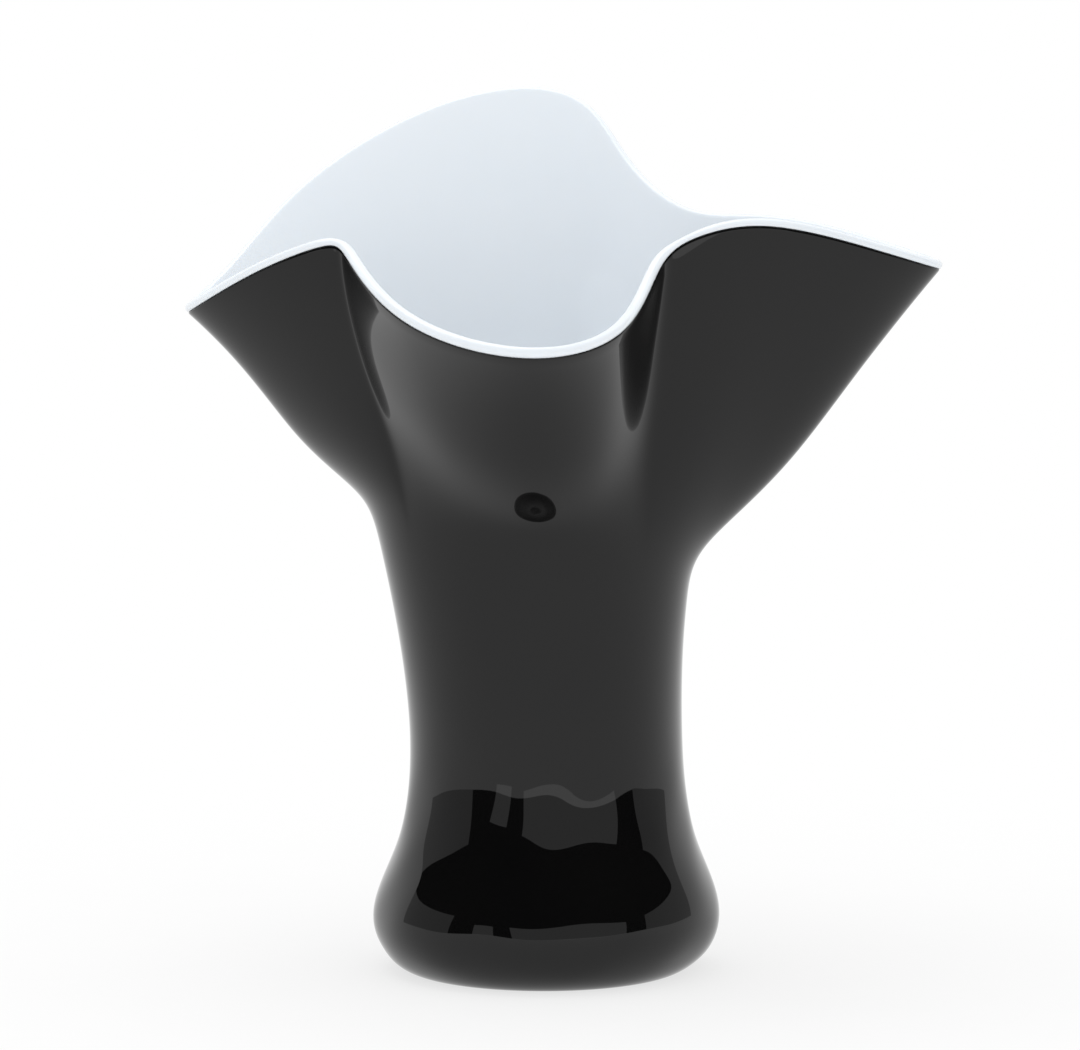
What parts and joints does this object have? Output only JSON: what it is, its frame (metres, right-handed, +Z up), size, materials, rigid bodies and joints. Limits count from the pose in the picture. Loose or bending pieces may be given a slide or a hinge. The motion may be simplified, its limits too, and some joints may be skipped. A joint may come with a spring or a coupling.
{
  "type": "handkerchief vase",
  "caption": "Tall cased-glass vase: flared mouth folded into uneven lobes like a hung handkerchief, upright tube, drawn-in waist and a heavy bulbous foot, black outside and opal white inside.",
  "frame": {"origin": "centre of the foot's flat resting face", "axes": "+Z up, out of the mouth; +X towards the tip of the right lobe; -Y towards the low front lobe"},
  "size_m": [0.227, 0.1792, 0.2658],
  "materials": {
    "black_glass": "glossy, fire-polished, opaque",
    "opal_glass": "glossy, fire-polished, opaque opal white"
  },
  "bodies": {
    "root": {"foot": "black_glass", "black_overlay": "black_glass", "opal_lining": "opal_glass"}
  },
  "joints": []
}
